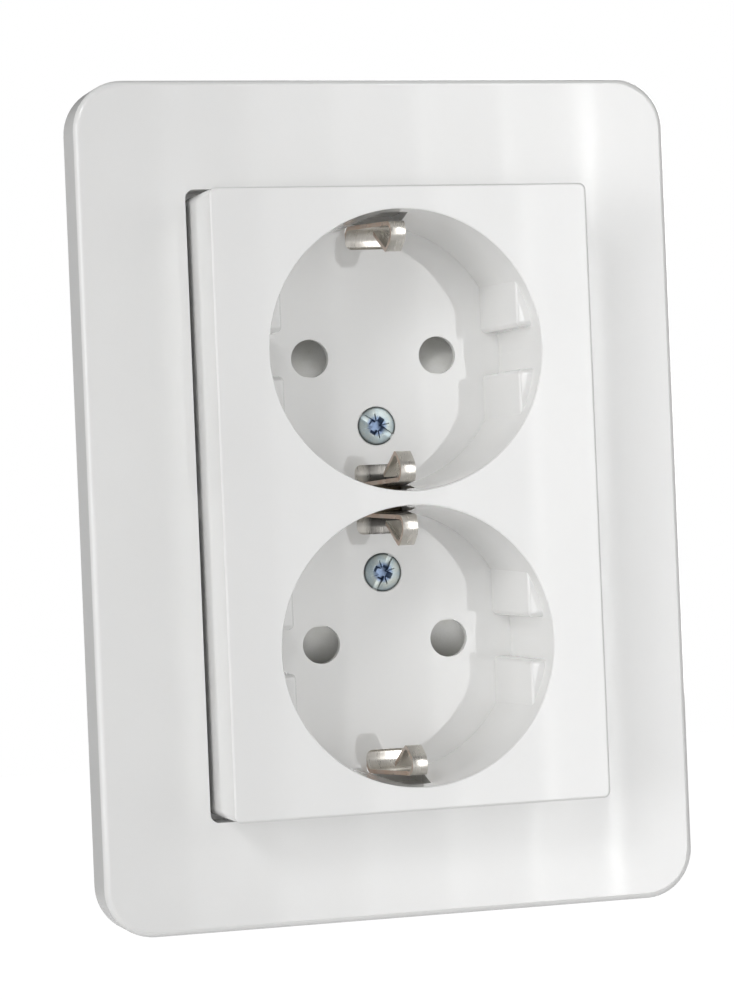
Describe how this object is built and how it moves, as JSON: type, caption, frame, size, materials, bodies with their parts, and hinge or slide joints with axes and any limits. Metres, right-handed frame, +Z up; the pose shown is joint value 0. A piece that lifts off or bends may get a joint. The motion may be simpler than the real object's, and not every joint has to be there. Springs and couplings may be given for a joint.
{
  "type": "double wall socket",
  "caption": "Flush wall socket with two round recesses in a raised plate within one frame, with side earth contacts, pin shutters and push-in wire terminals at the back.",
  "frame": {"origin": "middle of the wall plane, on the axis of the wall box: halfway between the two box screws, on the back of the support plate", "axes": "+X to the right as seen from the room, +Y into the wall, +Z up; the front looks along -Y"},
  "size_m": [0.087, 0.0436, 0.1194],
  "materials": {
    "cover_plastic": "glossy white thermoplastic",
    "shutter_plastic": "satin mid-grey thermoplastic",
    "insert_plastic": "matt warm light grey thermoset",
    "button_plastic": "satin blue-grey thermoplastic",
    "blue_zinc": "bright blue-passivated zinc plating",
    "galvanised_sheet": "galvanised sheet steel",
    "nickel_plate": "nickel plating with bare copper-alloy cut edges",
    "contact_brass": "plain stamped brass",
    "spring_steel": "bright stainless spring steel"
  },
  "bodies": {
    "housing": {"frame": "cover_plastic", "centre_plate": "cover_plastic", "cover_screws": "blue_zinc", "support_plate": "galvanised_sheet", "insert_rivets": "galvanised_sheet", "insert_base": "insert_plastic", "rear_cover": "insert_plastic", "rear_cover_screws": "blue_zinc", "upper_earth_bracket": "nickel_plate", "lower_earth_bracket": "nickel_plate", "earth_bar": "contact_brass", "threaded_bushes": "contact_brass", "live_contact_bar": "contact_brass", "neutral_contact_bar": "contact_brass", "live_clamp_spring": "spring_steel", "neutral_clamp_spring": "spring_steel", "earth_clamp_spring": "spring_steel", "upper_shutter_spring": "spring_steel", "lower_shutter_spring": "spring_steel"},
    "upper_shutter": {"upper_shutter": "shutter_plastic"},
    "lower_shutter": {"lower_shutter": "shutter_plastic"},
    "live_release_button": {"live_release_button": "button_plastic"},
    "neutral_release_button": {"neutral_release_button": "button_plastic"},
    "earth_release_button": {"earth_release_button": "button_plastic"}
  },
  "joints": [
    {"name": "upper_shutter_slide", "type": "slide", "parent": "housing", "child": "upper_shutter", "axis": [0, 0, -1], "range_m": [0, 0.0058], "stiffness_N_per_m": 60, "springref_m": -0.004, "deforming": ["upper_shutter_spring"]},
    {"name": "lower_shutter_slide", "type": "slide", "parent": "housing", "child": "lower_shutter", "axis": [0, 0, 1], "range_m": [0, 0.0058], "stiffness_N_per_m": 60, "springref_m": -0.004, "deforming": ["lower_shutter_spring"]},
    {"name": "live_release_slide", "type": "slide", "parent": "housing", "child": "live_release_button", "axis": [0, -1, 0], "range_m": [0, 0.0015], "stiffness_N_per_m": 800, "springref_m": -0.001, "deforming": ["live_clamp_spring"]},
    {"name": "neutral_release_slide", "type": "slide", "parent": "housing", "child": "neutral_release_button", "axis": [0, -1, 0], "range_m": [0, 0.0015], "stiffness_N_per_m": 800, "springref_m": -0.001, "deforming": ["neutral_clamp_spring"]},
    {"name": "earth_release_slide", "type": "slide", "parent": "housing", "child": "earth_release_button", "axis": [0, -1, 0], "range_m": [0, 0.0015], "stiffness_N_per_m": 800, "springref_m": -0.001, "deforming": ["earth_clamp_spring"]}
  ]
}
